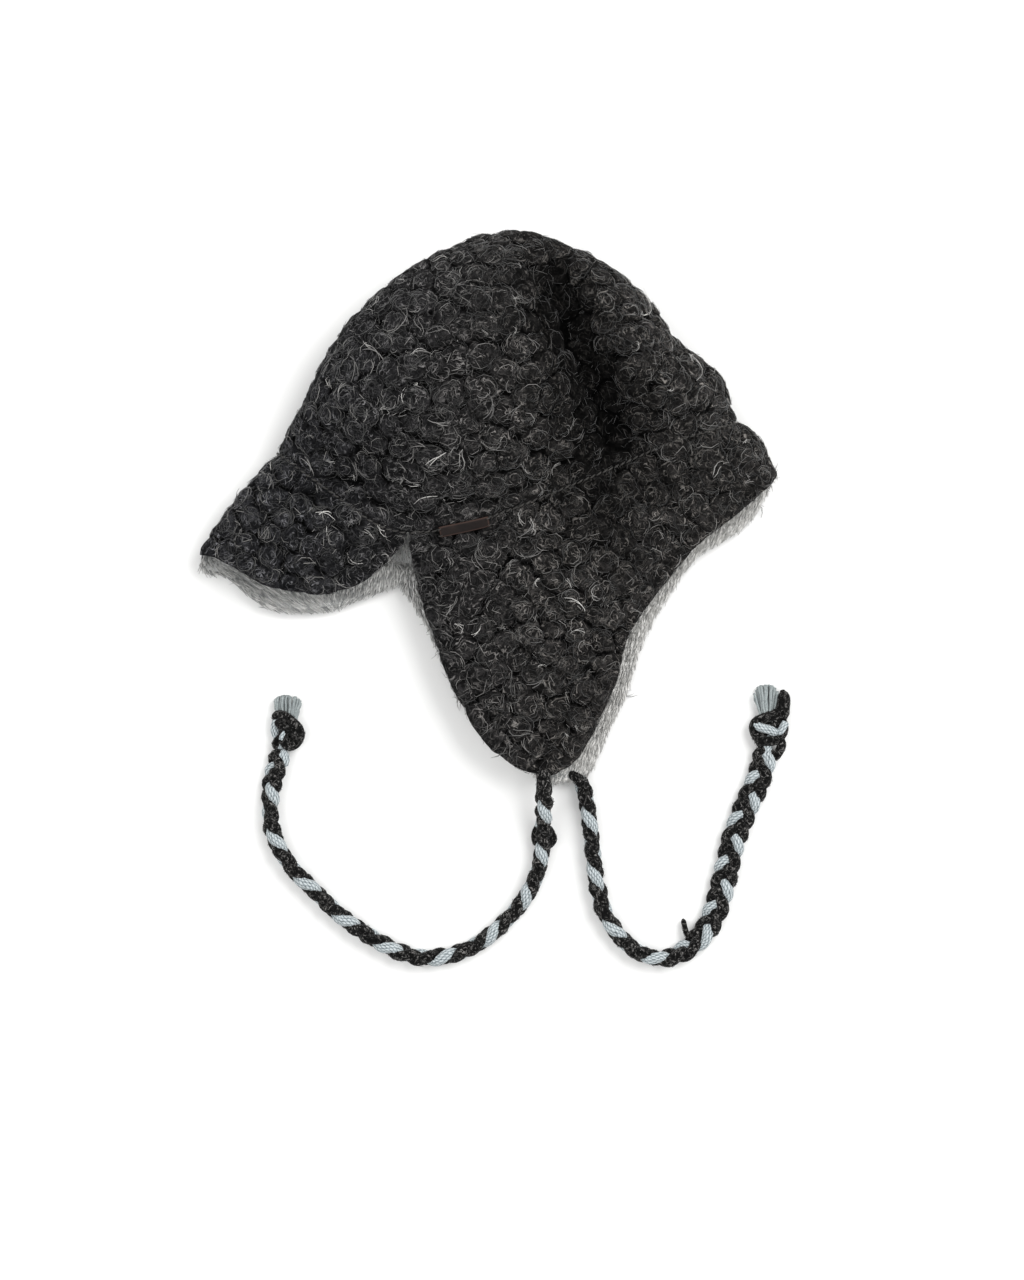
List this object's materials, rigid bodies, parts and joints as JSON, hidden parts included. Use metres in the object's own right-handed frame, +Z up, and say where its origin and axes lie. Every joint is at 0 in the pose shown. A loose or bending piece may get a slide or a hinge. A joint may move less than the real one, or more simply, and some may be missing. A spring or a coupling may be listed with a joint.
{
  "type": "knitted ear-flap hat",
  "caption": "Chunky knitted ear-flap hat with a peak, plush lining, leather label and plaited ties, lying on its side folded flat.",
  "frame": {"origin": "centre of the lying hat seen from above, on the surface it lies on", "axes": "+Z up from the surface, +Y towards the top of the crown, -X towards the peak"},
  "size_m": [0.3868, 0.4852, 0.072],
  "materials": {
    "wool_knit": "charcoal chunky wool knit with a mohair halo",
    "plush": "light grey short plush fur",
    "leather": "dark brown smooth leather",
    "plaited_wool": "dark fuzzy wool yarn",
    "grey_cotton": "light grey cotton threads"
  },
  "bodies": {
    "root": {"crown_knit": "wool_knit", "peak_knit": "wool_knit", "ear_flaps_knit": "wool_knit", "crown_lining": "plush", "peak_lining": "plush", "ear_flaps_lining": "plush", "label": "leather", "left_tie": "plaited_wool", "left_tie_knot": "plaited_wool", "left_tie_tassel": "grey_cotton", "right_tie": "plaited_wool", "right_tie_knot": "plaited_wool", "right_tie_tassel": "grey_cotton"}
  },
  "joints": []
}
